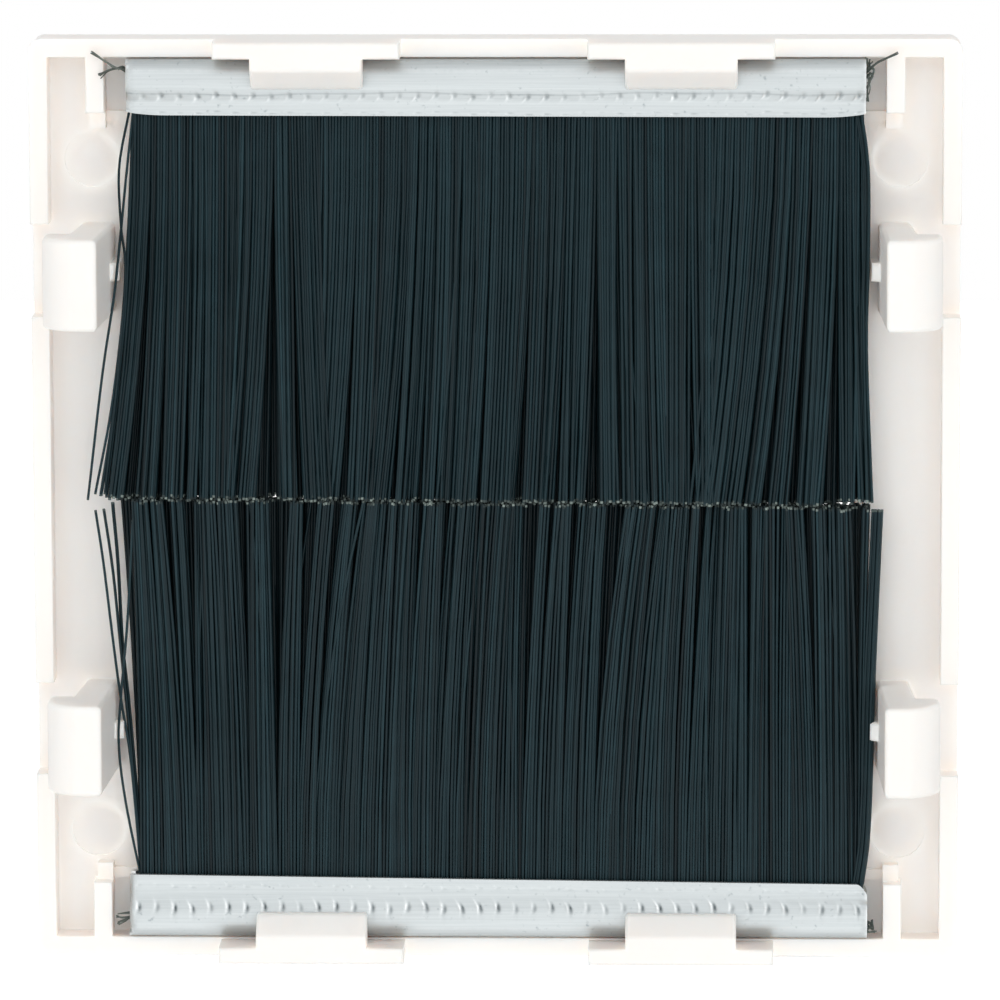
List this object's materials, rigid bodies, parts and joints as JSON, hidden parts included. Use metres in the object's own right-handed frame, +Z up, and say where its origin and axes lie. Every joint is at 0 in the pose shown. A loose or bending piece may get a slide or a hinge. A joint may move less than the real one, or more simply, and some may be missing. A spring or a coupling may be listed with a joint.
{
  "type": "brush cable grommet",
  "caption": "Square snap-in brush grommet plate for cable entry: a window closed by facing black strip brushes in crimped metal channels, with snap hooks at the sides.",
  "frame": {"origin": "centre of the plane of the walls' rear rim, on the window's axis, where the snap hooks take hold", "axes": "+Z up as on the wall, +Y out of the wall through the front face, +X to the right as seen from behind"},
  "size_m": [0.05, 0.0103, 0.05],
  "materials": {
    "frame_plastic": "satin moulded white",
    "channel_sheet": "rolled sheet, crimped",
    "core_strand": "black yarn",
    "filament": "black drawn filament"
  },
  "bodies": {
    "root": {"module_frame": "frame_plastic", "upper_channel": "channel_sheet", "lower_channel": "channel_sheet", "upper_core": "core_strand", "lower_core": "core_strand", "upper_bristles": "filament", "lower_bristles": "filament"}
  },
  "joints": []
}
